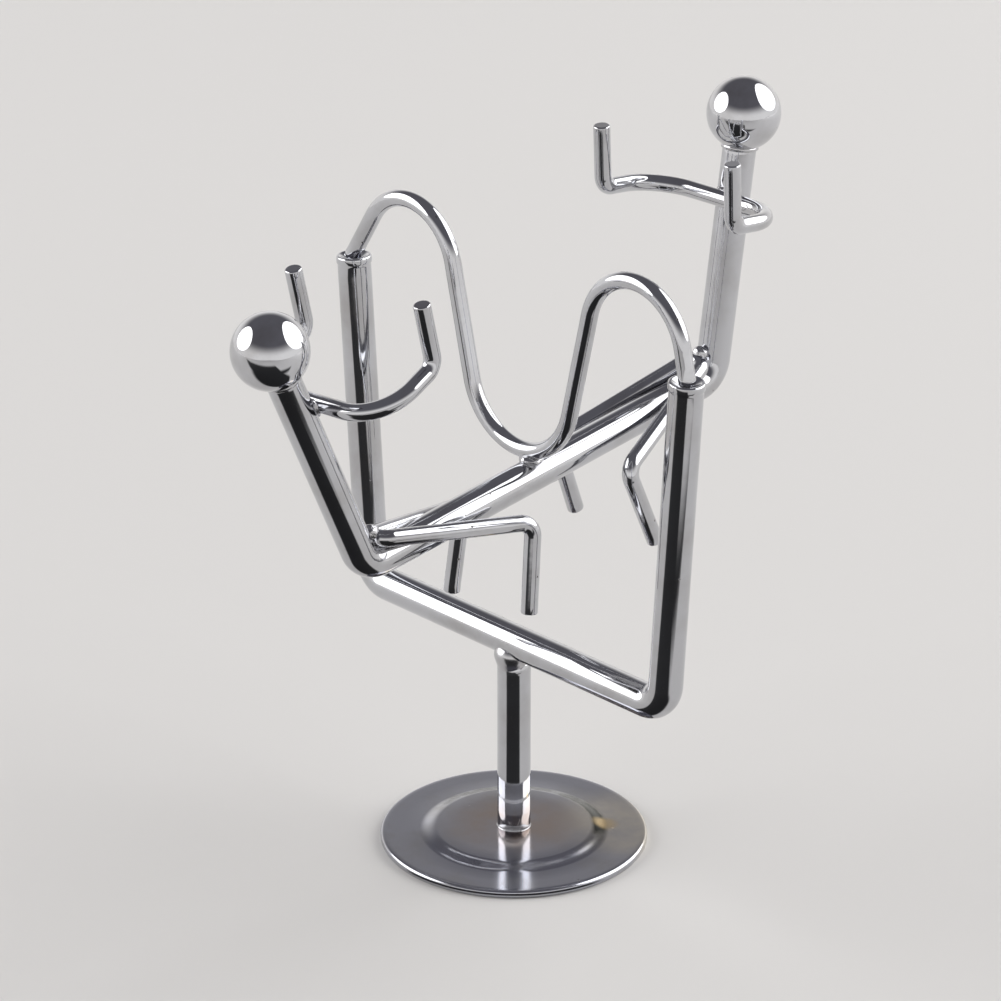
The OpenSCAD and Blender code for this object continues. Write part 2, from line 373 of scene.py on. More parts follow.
@dataclass(frozen=True)
class StainedChromeWithPaintedReflection(ChromeFinish):
    """Chrome on a pressed disc, stained by the heat of the weld and by old polish in its step, with
    a painted dark reflection along the step's far side.
    """

    # pale warm film on the rim beyond the straw
    rim_film: Stain = Stain("E4DDCF", (13.4, -10.6), 13.0)
    # brown film of the weld's heat over the raised middle
    heat: Stain = Stain("C0B1A6", (0.0, 0.0), 12.5)
    # painted dark reflection along the far side of the step, olive: shade painted where the step
    # would mirror dark surroundings
    painted_dark_reflection: PaintedDarkReflection = PaintedDarkReflection("35362F", (11.9, 13.9), way=24, reach=105)
    # straw stain of old polish, caught at one side of the step
    straw: Stain = Stain("E8CC98", (11.0, -8.3), 2.5, strength=0.85)
    # the stains and the painted dark reflection are uneven, in blotches that take off up to this
    # much
    blotch_mm: float = 6.0
    blotch_span: Pair = (0.3, 0.65)
    blotch_left: float = 0.25

    def _colour(self, tree: Tree, patches: Socket, pits: Socket) -> Socket:
        """Lays the stains, and the painted dark reflection on the step, over the colour of the
        chrome.

        Args:
            tree: the material's tree.
            patches: value of the handling film.
            pits: value of the pits.

        Returns:
            The stained colour.
        """
        colour = super()._colour(tree, patches, pits)
        place = object_place(tree)
        blotch = cloud(tree, place, per_metre(self.blotch_mm), detail=5.0, roughness=0.6)
        uneven = ramp(tree, blotch, self.blotch_span, (self.blotch_left, 1.0))
        # real stains, and the painted dark reflection along the step's far side
        for stain in (self.rim_film, self.heat, self.painted_dark_reflection, self.straw):
            amount = maths(tree, "MULTIPLY", stain.value(tree, place), uneven)
            colour = tint(tree, amount, colour, linear(stain.colour))
        return colour


# Cold-drawn steel rod, polished and chromed: long clean reflections with faint lines along the bar.
CHROMED_ROD = ChromeFinish("chromed_drawn_steel_rod", "chromed_rod", line_height_mm=0.00025)
# Thin drawn wire, bent after drawing: the same mirror with more nicks from the bending pins.
CHROMED_WIRE = ChromeFinish(
    "chromed_drawn_steel_wire",
    "chromed_wire",
    wave_mm=2.6,
    wave_height_mm=0.010,
    line_height_mm=0.00025,
    pit_every_mm=2.4,
    pit_mm=0.20,
)
# Tumbled and polished bearing ball: the cleanest mirror on the toy.
CHROMED_BALL = ChromeFinish(
    "chromed_polished_steel_ball",
    "chromed_ball",
    colour="CCCDD1",
    roughness=0.025,
    dull_roughness=0.04,
    wave_mm=6.0,
    wave_height_mm=0.004,
    pit_every_mm=4.5,
    pit_mm=0.14,
)
# Pressed sheet: soft reflections bent by shallow waves, under stains of heat and polish, and a
# painted dark reflection on the step.
CHROMED_PLATE = StainedChromeWithPaintedReflection(
    "chromed_pressed_steel_disc",
    "chromed_plate",
    colour="BFC0C8",
    roughness=0.14,
    dull_roughness=0.06,
    wave_mm=11.0,
    wave_height_mm=0.014,
    pit_every_mm=4.0,
    pit_mm=0.22,
)
# Weld plated over without grinding: broken highlights, softer than on the rod.
CHROMED_WELD = ChromeFinish(
    "chromed_unground_weld",
    "chromed_weld",
    colour="C4C4C7",
    roughness=0.18,
    dull_roughness=0.10,
    wave_mm=1.5,
    wave_height_mm=0.008,
    pit_every_mm=2.2,
    pit_mm=0.12,
)


@dataclass
class Course:
    """The centre line of a bent bar, as points with their directions."""

    points: list[Vector]
    ways: list[Vector]

    @classmethod
    def bent(
        cls, corners: Sequence[Vector], bends: Sequence[float], step: float = 2.5
    ) -> "Course":
        """Rounds the inner corners of a path.

        Args:
            corners: the path's points in millimetres.
            bends: bend radius at each inner corner.
            step: most degrees between two points of a bend.

        Returns:
            The course from the first corner to the last.
        """
        points, ways = [corners[0].copy()], [(corners[1] - corners[0]).normalized()]
        for i, radius in enumerate(bends, start=1):
            into = (corners[i] - corners[i - 1]).normalized()
            out = (corners[i + 1] - corners[i]).normalized()
            turn = into.angle(out)
            axis = into.cross(out).normalized()
            inward = axis.cross(into)
            start = corners[i] - into * (radius * math.tan(turn / 2))
            centre = start + inward * radius
            count = max(4, math.ceil(math.degrees(turn) / step))
            for k in range(count + 1):
                spin = Matrix.Rotation(turn * k / count, 3, axis)
                points.append(centre + spin @ (-inward * radius))
                ways.append(spin @ into)
        points.append(corners[-1].copy())
        ways.append((corners[-1] - corners[-2]).normalized())
        return cls(points, ways).filled()

    def filled(self, longest: float = 3.0) -> "Course":
        """Adds points on long straights.

        Args:
            longest: most millimetres between two points.

        Returns:
            The course with the points added.
        """
        points, ways = [self.points[0]], [self.ways[0]]
        for i in range(1, len(self.points)):
            gap = self.points[i] - self.points[i - 1]
            count = max(1, math.ceil(gap.length / longest))
            for k in range(1, count + 1):
                points.append(self.points[i - 1] + gap * (k / count))
                between = self.ways[i - 1].lerp(self.ways[i], k / count).normalized()
                ways.append(self.ways[i] if k == count else between)
        return Course(points, ways)

    def length(self) -> float:
        """Gives the length of the course in millimetres."""
        return sum((b - a).length for a, b in zip(self.points, self.points[1:]))

    def moved(self, place: Matrix) -> "Course":
        """Gives the course placed by a matrix."""
        ways = [(place.to_3x3() @ w).normalized() for w in self.ways]
        return Course([place @ p for p in self.points], ways)


@dataclass
class Skin:
    """A mesh in the making, in millimetres, with coordinates along and round each bar."""

    bm: bmesh.types.BMesh = field(default_factory=bmesh.new)

    def ring(
        self, centre: Vector, side: Vector, way: Vector, radius: float, count: int
    ) -> list[Vert]:
        """Adds one ring of points.

        Args:
            centre: middle of the ring.
            side: direction of its first point.
            way: direction square to the ring.
            radius: radius in millimetres, where almost 0 gives a single point.
            count: number of points.

        Returns:
            The ring's vertices, all one vertex for a point.
        """
        if radius < 1e-6:
            return [self.bm.verts.new(centre)] * count
        other = way.cross(side)
        angles = (math.tau * k / count for k in range(count))
        spokes = (side * math.cos(a) + other * math.sin(a) for a in angles)
        return [self.bm.verts.new(centre + spoke * radius) for spoke in spokes]

    def strip(self, low: Sequence[Vert], high: Sequence[Vert], start: float, end: float) -> None:
        """Joins two rings with faces.

        Args:
            low: the first ring.
            high: the next ring.
            start: distance along the bar at the first ring.
            end: distance along the bar at the next ring.
        """
        layers = self.bm.loops.layers.uv
        layer = layers.get(ALONG_ROUND) or layers.new(ALONG_ROUND)
        count = len(low)
        for k in range(count):
            n = (k + 1) % count
            corners = [(low[k], start, k), (low[n], start, k + 1)]
            corners += [(high[n], end, k + 1), (high[k], end, k)]
            kept = []
            for corner in corners:
                if all(corner[0] is not other[0] for other in kept):
                    kept.append(corner)
            if len(kept) < 3:
                continue
            face = self.bm.faces.new([corner[0] for corner in kept])
            face.smooth = True
            for loop, (_, along, turn) in zip(face.loops, kept):
                loop[layer].uv = (along, turn / count)

    def join(self, rings: Sequence[tuple[Sequence[Vert], float]]) -> None:
        """Joins rings, each with its distance along the bar, into one skin."""
        for (low, start), (high, end) in zip(rings, rings[1:]):
            self.strip(low, high, start, end)

    def bar(self, course: Course, radius: float, cut: Cut, count: int = 56) -> None:
        """Sweeps a round bar along a course.

        Args:
            course: the centre line.
            radius: radius of the bar in millimetres.
            cut: finish of both ends.
            count: points round the bar.
        """
        ends = end_profile(cut, radius)
        # rings of the course stay this far from its ends, clear of the rings that finish them
        clear = 0.2 - ends[0][0]
        length = course.length()
        way = course.ways[0]
        side = way.orthogonal().normalized()
        rings = []
        for out, size in reversed(ends):
            rings.append((self.ring(course.points[0] - way * out, side, way, size, count), -out))
        along = 0.0
        for i in range(1, len(course.points) - 1):
            way = course.ways[i]
            side = (side - way * side.dot(way)).normalized()
            along += (course.points[i] - course.points[i - 1]).length
            if clear < along < length - clear:
                rings.append((self.ring(course.points[i], side, way, radius, count), along))
        way = course.ways[-1]
        side = (side - way * side.dot(way)).normalized()
        for out, size in ends:
            spot = course.points[-1] + way * out
            rings.append((self.ring(spot, side, way, size, count), length + out))
        self.join(rings)

    def turned(self, profile: Sequence[Pair], place: Matrix, count: int = 128) -> None:
        """Turns a profile about the place's Z.

        Args:
            profile: radius and height pairs in millimetres, along the outline.
            place: where the turned form stands.
            count: points round it.
        """
        turn = place.to_3x3()
        axis, side = (turn @ UPWARD).normalized(), (turn @ Vector((1, 0, 0))).normalized()
        rings = []
        for r, z in profile:
            rings.append((self.ring(place @ (UPWARD * z), side, axis, r, count), r + z))
        self.join(rings)

    def weld_ring(
        self,
        place: Matrix,
        ring_r: float,
        section: Section,
        grain: float,
        seed: int,
        count: int = 128,
    ) -> None:
        """Lays an uneven ring of weld round a bar.

        Args:
            place: middle of the ring, with its Z along the bar.
            ring_r: radius of the bar.
            section: gives the weld's outline from the angle round the bar and the unevenness there.
            grain: how often the unevenness changes round the bar.
            seed: picks the unevenness.
            count: points round the ring.
        """
        part = math.tau * ring_r / count
        rows = []
        for i in range(count):
            a = math.tau * i / count
            where = Vector((math.cos(a), math.sin(a), 0))
            uneven = noise.noise(where * grain + Vector((seed, 0, 0)))
            spots = [place @ (where * out + UPWARD * up) for out, up in section(a, uneven)]
            rows.append(([self.bm.verts.new(spot) for spot in spots], part * i))
        self.join(rows + [(rows[0][0], part * count)])

    def lump(self, place: Matrix, size: Triple, seed: int, uneven: float = 0.09) -> None:
        """Puts an uneven lump of weld.

        Args:
            place: the lump's middle and directions.
            size: half its size along each direction, in millimetres.
            seed: picks the unevenness.
            uneven: how much the lump swells and shrinks, for each unit of its size.
        """
        made = bmesh.ops.create_icosphere(self.bm, subdivisions=5, radius=1.0)
        for vert in made["verts"]:
            p = vert.co.copy()
            broad = noise.noise(p * 1.7 + Vector((seed, 3, 0)))
            fine = noise.noise(p * 5 + Vector((0, seed, 7)))
            swell = 1 + uneven * broad + uneven / 3 * fine
            vert.co = place @ Vector([at * half * swell for at, half in zip(p, Vector(size))])
        for face in self.bm.faces:
            face.smooth = True

    def piece(self, name: str, finish: ChromeFinish, body: Body, *nodes: str) -> None:
        """Makes the mesh a piece of the toy, in metres.

        Args:
            name: the piece's name.
            finish: what it is dressed in.
            body: what it moves with.
            nodes: the CAD nodes that it stands for.
        """
        bmesh.ops.scale(self.bm, vec=Vector((MM, MM, MM)), verts=self.bm.verts)
        bmesh.ops.recalc_face_normals(self.bm, faces=self.bm.faces)
        mesh = bpy.data.meshes.new(name)
        self.bm.to_mesh(mesh)
        self.bm.free()
        made = bpy.data.objects.new(name, mesh)
        bpy.context.scene.collection.objects.link(made)
        made.data.materials.append(finish.material())
        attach(made, body.value)
        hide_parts(*nodes)
        faces = len(mesh.polygons)
        LOG.info("%s: %d faces, in %s, on the %s", name, faces, finish.name, body.value)


def end_profile(cut: Cut, radius: float) -> list[Pair]:
    """Gives the rings that finish a bar's end.

    Args:
        cut: the finish.
        radius: radius of the bar in millimetres.

    Returns:
        Pairs of distance past the end and radius, from the bar outwards.
    """
    if cut is Cut.SAWN:
        edge = 0.25
        flat = radius - edge
        rows = [(-1.2, radius), (-edge, radius)]
        for a in (0.35, 0.75, 1.15):
            rows.append((-edge + edge * math.sin(a), flat + edge * math.cos(a)))
        return rows + [(0.0, r) for r in (flat, flat - 0.06, radius * 0.45, 0.0)]
    if cut is Cut.BALL:
        ball = radius + 0.03
        angles = [math.radians(a) for a in range(-8, 90, 7)]
        rows = [(-2.0, radius), (-0.28, radius)]
        return rows + [(ball * math.sin(a), ball * math.cos(a)) for a in angles] + [(ball, 0.0)]
    if cut is Cut.CUP:
        rim = radius + 0.15
        neck = [(-3.0, radius), (-1.5, radius), (-1.28, radius + 0.02)]
        swell = [(-1.12, rim - 0.03), (-1.0, rim), (-0.3, rim)]
        lip = [(-0.16, rim - 0.04), (-0.06, rim - 0.12), (0.0, rim - 0.27), (0.0, 2.16)]
        cone = [(-0.03, 2.1), (-0.5, 1.39), (-1.0, 0.68), (-1.4, 0.1), (-1.47, 0.0)]
        return neck + swell + lip + cone
    return [(0.0, radius), (0.0, 0.0)]


@dataclass(frozen=True)
class Stock:
    """Sizes of the rod, wire and balls."""

    rod_r: float = 2.5
    wire_r: float = 1.25
    ball_r: float = 5.5
    rod_bend: float = 4.0
    weld_sink: float = 0.2
    # points round a bent rod
    rod_points: int = 72


@dataclass
class Stand:
    """Base disc, post and fork, which stay still."""

    stock: Stock
    base_r: float = 20.0
    base_t: float = 1.2
    rim_r: float = 0.5
    step_r: float = 11.5
    step_w: float = 2.7
    step_h: float = 0.7
    # how far the post runs into the disc and the fork's bar, out of sight
    post_sink: float = 0.05
    post_rise: float = 0.6
    bar_h: float = 32.3
    bar_w: float = 62.4
    top_w: float = 69.2
    top_h: float = 83.6
    foot_fillet: float = 0.11
    # the weld under the bar is thicker at one side
    bar_weld_x: float = -0.3

    def build(self) -> None:
        """Builds every piece of the stand."""
        self.disc()
        self.upright()
        self.fork()
        self.welds()

    def disc(self) -> None:
        """Presses the disc: rolled rim, flat ring, soft step and flat middle."""
        top = self.base_t + self.step_h
        # rings at bare radii only keep the faces of the flat parts short
        profile = [(0.0, 0.0), (14.0, 0.0)]
        # the sheared lower edge, in from the rim and up
        profile += [(self.base_r - back, up) for back, up in ((0.35, 0.0), (0.1, 0.08), (0.0, 0.3))]
        for a in range(0, 91, 15):
            out, up = math.cos(math.radians(a)) - 1, math.sin(math.radians(a)) - 1
            profile.append((self.base_r + self.rim_r * out, self.base_t + self.rim_r * up))
        profile += [(self.base_r - 1.0, self.base_t), (17.0, self.base_t)]
        steps = 12
        for k in range(steps + 1):
            t = k / steps
            ease = t * t * (3 - 2 * t)
            out = self.step_r + self.step_w * (1 - t)
            profile.append((out, self.base_t + self.step_h * ease))
        profile += [(r, top) for r in (9.0, 5.0, 2.0, 0.0)]
        skin = Skin()
        skin.turned(profile, Matrix.Identity(4), 192)
        skin.piece("pressed_base_disc", CHROMED_PLATE, Body.STAND, "base_disc")

    def upright(self) -> None:
        """Stands the post on the disc, up to the underside of the fork's bar."""
        foot = UPWARD * (self.base_t + self.step_h - self.post_sink)
        head = UPWARD * (self.bar_h - self.stock.rod_r + self.post_rise)
        skin = Skin()
        skin.bar(Course([foot, head], [UPWARD] * 2).filled(), self.stock.rod_r, Cut.BURIED)
        skin.piece("post_rod", CHROMED_ROD, Body.STAND, "post")

    def fork(self) -> None:
        """Bends the fork and opens a cup in each of its tops."""
        arm = [(self.top_w / 2, self.top_h), (self.bar_w / 2, self.bar_h)]
        corners = [Vector((0, y, z)) for y, z in arm]
        corners += [Vector((0, -y, z)) for y, z in reversed(arm)]
        course = Course.bent(corners, [self.stock.rod_bend] * 2)
        skin = Skin()
        skin.bar(course, self.stock.rod_r, Cut.CUP, self.stock.rod_points)
        skin.piece("fork_rod_with_cups", CHROMED_ROD, Body.STAND, "fork")

    def welds(self) -> None:
        """Lays the weld at the post's foot and the one under the bar."""
        foot = Skin()
        spot = Matrix.Translation((0, 0, self.base_t + self.step_h))
        foot.weld_ring(spot, self.stock.rod_r, self.foot_section, 1.8, 4)
        foot.piece("weld_at_post_foot", CHROMED_WELD, Body.STAND, "foot_weld")
        head = Skin()
        # a swelling that runs out along the post, under the bar: heights, and depths on the post
        swell = (
            (-2.2, -0.9), (-2.1, -0.45), (-1.6, -0.3), (-1.2, -0.18), (-0.8, -0.05),
            (-0.4, 0.09), (0.0, 0.2), (0.4, 0.26), (0.8, 0.23), (1.2, 0.1),
            (1.6, -0.1), (2.0, -0.4), (2.1, -2.5),
        )
        spot = Matrix.Translation((self.bar_weld_x, 0.0, self.bar_h - self.stock.rod_r))
        head.turned([(self.stock.rod_r + out, z) for z, out in swell], spot)
        head.piece("weld_under_fork_bar", CHROMED_WELD, Body.STAND, "bar_weld")

    def foot_section(self, _: float, uneven: float) -> list[Pair]:
        """Gives the hollow fillet at the post's foot.

        Args:
            uneven: unevenness at this side of the post.

        Returns:
            Radii and heights, from inside the post to inside the disc.
        """
        rod, steps = self.stock.rod_r, 10
        inside, below, share = 0.2, 0.1, 0.12
        reach = self.foot_fillet * (1 - share + share * uneven)
        hollow = []
        for k in range(steps + 1):
            b = math.pi / 2 * k / steps
            hollow.append((rod + reach * (1 - math.cos(b)), reach * (1 - math.sin(b))))
        return [(rod - inside, reach), *hollow, (rod - inside, -below)]


@dataclass
class Hanger:
    """The looped wire that rocks in the cups."""

    stock: Stock
    pivot_y: float = 34.61
    pivot_z: float = 83.753
    side: float = -1.2
    loop_w: float = 46.6
    loop_h: float = 11.6
    loop_r: float = 9.4
    valley_h: float = 20.3
    valley_r: float = 10.5
    # most degrees between two points of an arc
    arc_step: float = 2.5

    def build(self) -> None:
        """Bends the wire from one ball end to the other."""
        right, left = self.flank(self.pivot_y - self.side), self.flank(self.pivot_y + self.side)
        valley = Vector((0, self.valley_r - self.valley_h))
        lean = self.leg_side()
        low = self.arc(valley, self.valley_r, -180 - lean, lean)
        mirrored = [((-p[0], p[1]), (w[0], -w[1])) for p, w in reversed(left)]
        flat = mirrored + low + right
        points = [Vector((0, self.side + y, self.pivot_z + z)) for (y, z), _ in flat]
        ways = [Vector((0, y, z)).normalized() for _, (y, z) in flat]
        skin = Skin()
        skin.bar(Course(points, ways).filled(), self.stock.wire_r, Cut.BALL)
        skin.piece("looped_hanger_wire", CHROMED_WIRE, Body.ROCKER, "hanger")

    def leg_side(self) -> float:
        """Gives the direction from the valley's middle to where the inner leg leaves it.

        Returns:
            The angle from +Y, in degrees.
        """
        y = self.loop_w / 2
        z = self.loop_h - self.loop_r - (self.valley_r - self.valley_h)
        lean = math.asin((self.loop_r + self.valley_r) / math.hypot(y, z))
        return math.degrees(math.atan2(z, y) + lean) - 90

    def arc(self, centre: Vector, radius: float, start: float, end: float) -> list[Step]:
        """Gives points and directions of an arc in the hanger's plane.

        Args:
            centre: middle of the arc.
            radius: its radius.
            start: first angle in degrees.
            end: last angle, smaller than the first for an arc that turns clockwise.

        Returns:
            Pairs of point and direction.
        """
        count = max(6, math.ceil(abs(end - start) / self.arc_step))
        sign = 1 if end > start else -1
        found = []
        for k in range(count + 1):
            a = math.radians(start + (end - start) * k / count)
            cos, sin = math.cos(a), math.sin(a)
            spot = (centre[0] + radius * cos, centre[1] + radius * sin)
            found.append((spot, (-sin * sign, cos * sign)))
        return found

    def flank(self, tip_y: float) -> list[Step]:
        """Gives one side of the wire, from the foot of its loop to its ball end.

        Args:
            tip_y: distance of the ball end from the hanger's middle.

        Returns:
            Pairs of point and direction.
        """
        loop = Vector((self.loop_w / 2, self.loop_h - self.loop_r))
        span = Vector((tip_y, 0)) - loop
        last = math.atan2(span[1], span[0]) + math.acos(self.loop_r / span.length)
        course = self.arc(loop, self.loop_r, self.leg_side() + 180, math.degrees(last))
        return course + [((tip_y, 0.0), course[-1][1])]


@dataclass
class Figure:
    """One seated figure's head and limbs, drawn at the right end of the beam."""

    stock: Stock
    name: str
    place: Matrix
    seed: int
    beam_l: float = 70.0
    torso_l: float = 40.4
    lean: float = math.radians(16.2)
    # drilled seat in the ball: radius, and height over its lip
    seat: tuple[Pair, ...] = ((2.42, 1.2), (2.46, 0.12))
    shoulder_h: float = 28.0
    arm_w: float = 24.4
    arm_reach: float = 15.5
    arm_turn: float = math.radians(5.2)
    shoulder_bend: float = 7.0
    elbow_bend: float = 2.2
    hand_l: float = 9.8
    hand_lean: float = math.radians(12)
    hip_bend: float = 1.9
    knee_reach: float = 25.5
    knee_w: float = 15.2
    knee_drop: float = 2.0
    knee_bend: float = 2.2
    shin_l: float = 13.7
    shin_lean: float = math.radians(14.4)
    shin_splay: float = math.radians(3.4)
    # how far the figure's own left knee hangs lower than its right one
    knee_dip: float = 0.0
    # welds: bead under the ball, and half sizes of the lumps
    neck_bead_r: float = 0.3
    neck_bead_squash: float = 1.3
    neck_bead_drop: float = 0.1
    shoulder_lump: Triple = (0.9, 1.7, 1.6)
    hip_lump: Triple = (1.15, 1.2, 1.15)
    hip_lump_back: float = 0.6

    def build(self) -> None:
        """Builds the head, arms and legs."""
        self.head()
        self.arms()
        self.legs()

    def corner(self) -> Vector:
        """Gives the corner between beam and torso."""
        return Vector((self.beam_l / 2, 0, 0))

    def up(self) -> Vector:
        """Gives the direction of the torso."""
        return Vector((math.sin(self.lean), 0, math.cos(self.lean)))

    def front(self) -> Vector:
        """Gives the direction that the chest faces."""
        return Vector((-math.cos(self.lean), 0, math.sin(self.lean)))

    def torso_point(self, forward: float, side: float, along: float) -> Vector:
        """Gives a point by its distance before, beside and along the torso, in the beam's frame."""
        beside = Vector((0, side, 0))
        return self.corner() + self.front() * forward + beside + self.up() * along

    def arm_point(self, forward: float, side: float, along: float) -> Vector:
        """Gives such a point on the arms, which are turned a little about the torso."""
        cos, sin = math.cos(self.arm_turn), math.sin(self.arm_turn)
        return self.torso_point(forward * cos + side * sin, side * cos - forward * sin, along)

    def upright(self, along: float) -> Matrix:
        """Gives a place on the torso with its Z along it."""
        turn = Matrix((-self.front(), Vector((0, 1, 0)), self.up())).transposed()
        return self.place @ Matrix.Translation(self.torso_point(0, 0, along)) @ turn.to_4x4()

    def hip(self) -> Vector:
        """Gives where the middle of the hairpin sits in the crook of the beam.

        Returns:
            The point on the wire's axis, in the beam's frame.
        """
        stock = self.stock
        run = stock.rod_bend * math.tan((math.pi / 2 - self.lean) / 2)
        crook = self.corner() + Vector((-run, 0, stock.rod_bend))
        deep = stock.rod_bend - stock.rod_r - stock.wire_r + stock.weld_sink
        return crook + (self.corner() - crook).normalized() * deep

    def head(self) -> None:
        """Turns the ball with its drilled seat for the neck."""
        ball, seat = self.stock.ball_r, math.asin(self.stock.rod_r / self.stock.ball_r)
        profile = [(r, -ball * math.cos(seat) + up) for r, up in self.seat]
        lip, steps = seat + 0.03, 64
        for k in range(steps + 1):
            a = lip + (math.pi - lip) * k / steps
            profile.append((ball * math.sin(a), -ball * math.cos(a)))
        skin = Skin()
        skin.turned(profile, self.upright(self.torso_l))
        skin.piece(f"{self.name}_ball_head", CHROMED_BALL, Body.ROCKER, f"{self.name}_head")

    def arms(self) -> None:
        """Bends the wire of the arms across the chest and up at the elbows."""
        chest = self.stock.rod_r + self.stock.wire_r - self.stock.weld_sink
        hand_reach = self.arm_reach + self.hand_l * math.sin(self.hand_lean)
        hand_h = self.shoulder_h + self.hand_l * math.cos(self.hand_lean)
        half = self.arm_w / 2
        arm = [(hand_reach, hand_h), (self.arm_reach, self.shoulder_h), (chest, self.shoulder_h)]
        corners = [self.arm_point(forward, half, along) for forward, along in arm]
        corners += [self.arm_point(forward, -half, along) for forward, along in reversed(arm)]
        bends = [self.elbow_bend, self.shoulder_bend, self.shoulder_bend, self.elbow_bend]
        skin = Skin()
        skin.bar(Course.bent(corners, bends).moved(self.place), self.stock.wire_r, Cut.SAWN)
        skin.piece(f"{self.name}_arm_wire", CHROMED_WIRE, Body.ROCKER, f"{self.name}_arms")

    def legs(self) -> None:
        """Bends the hairpin of the legs, out of the crook and down at the knees."""
        knee_mid = self.corner() + Vector((-self.knee_reach, 0, -self.knee_drop))
        reach = (knee_mid - self.hip()).length
        way = (knee_mid - self.hip()).normalized()
        half = self.knee_w / 2
        far = math.hypot(reach - self.hip_bend, half)
        splay = math.acos(self.hip_bend / far) - math.atan2(reach - self.hip_bend, half)
        apex = knee_mid - way * (half / math.tan(splay))
        knee = knee_mid + Vector((0, half, 0))
        fall = Vector((math.tan(self.shin_lean), math.tan(self.shin_splay), -1)).normalized()
        right = [knee + fall * self.shin_l, knee]
        left = [Vector((p.x, -p.y, p.z - self.knee_dip)) for p in reversed(right)]
        bends = [self.knee_bend, self.hip_bend, self.knee_bend]
        course = Course.bent(right + [apex] + left, bends).moved(self.place)
        skin = Skin()
        skin.bar(course, self.stock.wire_r, Cut.SAWN)
        skin.piece(f"{self.name}_leg_hairpin", CHROMED_WIRE, Body.ROCKER, f"{self.name}_legs")

    def neck_weld(self, skin: Skin) -> None:
        """Lays the ring of weld under the ball.

        Args:
            skin: the mesh that takes it.
        """
        ball, rod = self.stock.ball_r, self.stock.rod_r
        under = math.sqrt(ball * ball - rod * rod) + self.neck_bead_drop
        skin.weld_ring(self.upright(self.torso_l - under), rod, self.neck_section, 1.3, self.seed)

    def neck_section(self, angle: float, uneven: float) -> list[Pair]:
        """Gives the rippled bead under the ball.

        Args:
            angle: angle round the neck.
            uneven: unevenness there.

        Returns:
            Radii and heights round the bead.
        """
        share, ripple, ripples, sides = 0.2, 0.03, 16, 20
        swell = 1 + share * uneven + ripple * math.sin(ripples * angle + self.seed)
        size = self.neck_bead_r * swell
        high = size * self.neck_bead_squash
        turns = [math.tau * k / sides for k in range(sides)]
        return [(self.stock.rod_r + size * math.cos(b), high * math.sin(b)) for b in turns]

    def shoulder_weld(self, skin: Skin) -> None:
        """Puts the weld between the chest and the wire of the arms.

        Args:
            skin: the mesh that takes it.
        """
        spin = Matrix.Rotation(self.arm_turn, 4, "Z")
        chest = Matrix.Translation((-self.stock.rod_r, 0, 0))
        skin.lump(self.upright(self.shoulder_h) @ spin @ chest, self.shoulder_lump, self.seed + 3)

    def hip_weld(self, skin: Skin) -> None:
        """Puts the weld in the crook, between the torso and the top of the hairpin."""
        spot = self.hip() + self.up() * self.stock.wire_r - self.front() * self.hip_lump_back
        skin.lump(self.place @ Matrix.Translation(spot), self.hip_lump, self.seed + 6)


@dataclass
class Rocker:
    """Hanger, beam and both figures, which swing together."""

    stock: Stock
    hanger: Hanger
    beam_tilt: float = math.radians(7.9)
    beam_shift: float = 2.4
    beam_side: float = -2.3
    neck_seat: float = 2.5
    # half sizes of the lump under the hanger
    hanger_lump: Triple = (1.75, 1.8, 0.95)

    def build(self) -> None:
        """Builds every piece of the rocker."""
        self.hanger.build()
        figures = self.figures()
        self.beam(figures[1])
        for figure in figures:
            figure.build()
        self.welds(figures)

    def weld_point(self) -> Vector:
        """Gives the beam's axis under the hanger's valley."""
        stock, hanger = self.stock, self.hanger
        drop = hanger.valley_h + stock.wire_r + stock.rod_r - stock.weld_sink
        return Vector((0, hanger.side + self.beam_side, hanger.pivot_z - drop))

    def place(self) -> Matrix:
        """Gives the beam's frame, with its middle at the origin and its length along X."""
        tilt = Matrix.Rotation(-self.beam_tilt, 4, "Y")
        shift = Matrix.Translation((self.beam_shift, 0, 0))
        return Matrix.Translation(self.weld_point()) @ tilt @ shift

    def figures(self) -> list[Figure]:
        """Gives the left and the right figure, the left one turned round to face the other."""
        about = Matrix.Rotation(math.pi, 4, "Z")
        return [
            Figure(self.stock, "left", self.place() @ about, 11, knee_dip=2.2),
            Figure(self.stock, "right", self.place(), 23),
        ]

    def beam(self, figure: Figure) -> None:
        """Bends the beam up at both ends into the torsos.

        Args:
            figure: the right figure, whose torso the left one matches.
        """
        neck = figure.torso_point(0, 0, figure.torso_l - self.stock.ball_r + self.neck_seat)
        corners = [Vector((-neck.x, 0, neck.z)), -figure.corner(), figure.corner(), neck]
        course = Course.bent(corners, [self.stock.rod_bend] * 2).moved(self.place())
        skin = Skin()
        skin.bar(course, self.stock.rod_r, Cut.BURIED, self.stock.rod_points)
        skin.piece("beam_and_torso_rod", CHROMED_ROD, Body.ROCKER, "beam")

    def welds(self, figures: Sequence[Figure]) -> None:
        """Lays the welds of the hanger and of both figures.

        Args:
            figures: the figures whose welds are laid.
        """
        under = Skin()
        spot = self.weld_point() + UPWARD * self.stock.rod_r
        under.lump(Matrix.Translation(spot), self.hanger_lump, 31)
        under.piece("weld_under_hanger", CHROMED_WELD, Body.ROCKER, "hanger_weld")
        necks, shoulders, hips = Skin(), Skin(), Skin()
        for figure in figures:
            figure.neck_weld(necks)
            figure.shoulder_weld(shoulders)
            figure.hip_weld(hips)
        necks.piece("welds_at_necks", CHROMED_WELD, Body.ROCKER, "neck_welds")
        shoulders.piece("welds_at_shoulders", CHROMED_WELD, Body.ROCKER, "shoulder_welds")
        hips.piece("welds_at_hips", CHROMED_WELD, Body.ROCKER, "hip_welds")


